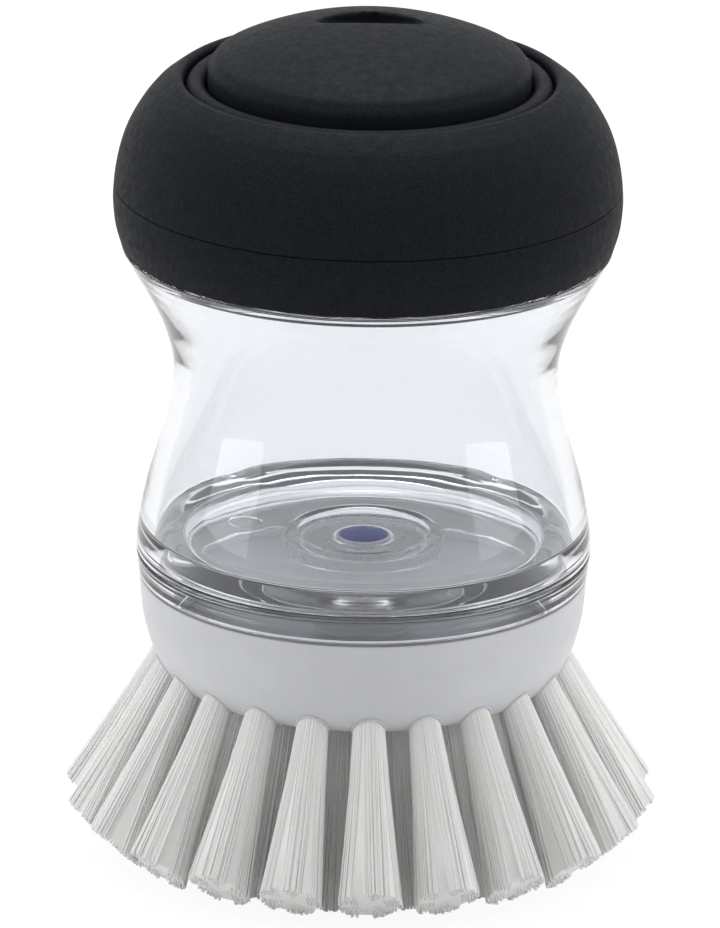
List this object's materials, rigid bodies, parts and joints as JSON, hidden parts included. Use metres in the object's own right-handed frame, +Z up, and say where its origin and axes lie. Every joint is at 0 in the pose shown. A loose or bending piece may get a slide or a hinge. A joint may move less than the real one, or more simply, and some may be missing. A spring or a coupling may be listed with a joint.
{
  "type": "soap-dispensing palm brush",
  "caption": "Round dish brush with a black palm grip, press-button soap pump, clear waisted reservoir and a twist-off head of fanned bristle tufts.",
  "frame": {"origin": "on the brush's axis, at the plane that the bristle tips stand on", "axes": "+Z up along the brush's axis towards the button; the button's recess lies towards +Y, at the back"},
  "size_m": [0.0736, 0.0738, 0.108],
  "materials": {
    "black_soft_grip": "fine-grained matt soft-touch rubber",
    "black_core_plastic": "moulded, satin",
    "clear_plastic": "polished, see-through, faint blue",
    "white_plastic": "moulded, soft gloss",
    "blue_silicone": "smooth silicone",
    "seal_silicone": "smooth silicone",
    "nylon_bristle": "translucent white nylon filament"
  },
  "bodies": {
    "reservoir": {"reservoir_tank": "clear_plastic", "reservoir_base": "clear_plastic", "dispensing_valve": "blue_silicone", "valve_retainer": "white_plastic"},
    "cap_seal": {"cap_gasket": "seal_silicone"},
    "knob": {"cap_core": "black_core_plastic", "grip_lower_ring": "black_soft_grip", "grip_upper_shell": "black_soft_grip", "button_bellows": "black_soft_grip"},
    "button": {"press_button": "black_soft_grip", "button_core": "black_core_plastic"},
    "collar_seal": {"head_seal": "seal_silicone"},
    "head": {"brush_head": "white_plastic", "outer_tuft_01": "nylon_bristle", "outer_tuft_02": "nylon_bristle", "outer_tuft_03": "nylon_bristle", "outer_tuft_04": "nylon_bristle", "outer_tuft_05": "nylon_bristle", "outer_tuft_06": "nylon_bristle", "outer_tuft_07": "nylon_bristle", "outer_tuft_08": "nylon_bristle", "outer_tuft_09": "nylon_bristle", "outer_tuft_10": "nylon_bristle", "outer_tuft_11": "nylon_bristle", "outer_tuft_12": "nylon_bristle", "outer_tuft_13": "nylon_bristle", "outer_tuft_14": "nylon_bristle", "outer_tuft_15": "nylon_bristle", "outer_tuft_16": "nylon_bristle", "outer_tuft_17": "nylon_bristle", "outer_tuft_18": "nylon_bristle", "outer_tuft_19": "nylon_bristle", "outer_tuft_20": "nylon_bristle", "outer_tuft_21": "nylon_bristle", "outer_tuft_22": "nylon_bristle", "middle_tuft_01": "nylon_bristle", "middle_tuft_02": "nylon_bristle", "middle_tuft_03": "nylon_bristle", "middle_tuft_04": "nylon_bristle", "middle_tuft_05": "nylon_bristle", "middle_tuft_06": "nylon_bristle", "middle_tuft_07": "nylon_bristle", "middle_tuft_08": "nylon_bristle", "middle_tuft_09": "nylon_bristle", "middle_tuft_10": "nylon_bristle", "middle_tuft_11": "nylon_bristle", "middle_tuft_12": "nylon_bristle", "middle_tuft_13": "nylon_bristle", "middle_tuft_14": "nylon_bristle", "middle_tuft_15": "nylon_bristle", "middle_tuft_16": "nylon_bristle", "inner_tuft_01": "nylon_bristle", "inner_tuft_02": "nylon_bristle", "inner_tuft_03": "nylon_bristle", "inner_tuft_04": "nylon_bristle", "inner_tuft_05": "nylon_bristle", "inner_tuft_06": "nylon_bristle", "inner_tuft_07": "nylon_bristle", "inner_tuft_08": "nylon_bristle"}
  },
  "joints": [
    {"name": "knob_lift", "type": "slide", "parent": "reservoir", "child": "cap_seal", "axis": [0, 0, 1], "range_m": [0, 0.018]},
    {"name": "knob_twist", "type": "hinge", "parent": "cap_seal", "child": "knob", "pos_m": [0, 0, 0.0792], "axis": [0, 0, 1], "range_deg": [0, 540]},
    {"name": "button_press", "type": "slide", "parent": "knob", "child": "button", "axis": [0, 0, -1], "range_m": [0, 0.004], "stiffness_N_per_m": 500, "springref_m": -0.002, "deforming": ["button_bellows"]},
    {"name": "head_drop", "type": "slide", "parent": "reservoir", "child": "collar_seal", "axis": [0, 0, -1], "range_m": [0, 0.005]},
    {"name": "head_twist", "type": "hinge", "parent": "collar_seal", "child": "head", "pos_m": [0, 0, 0.036], "axis": [0, 0, -1], "range_deg": [0, 90]}
  ],
  "couplings": [
    {"joint": "knob_lift", "follows": "knob_twist", "m_per_rad": 0.0019098},
    {"joint": "head_drop", "follows": "head_twist", "m_per_rad": 0.003183}
  ]
}
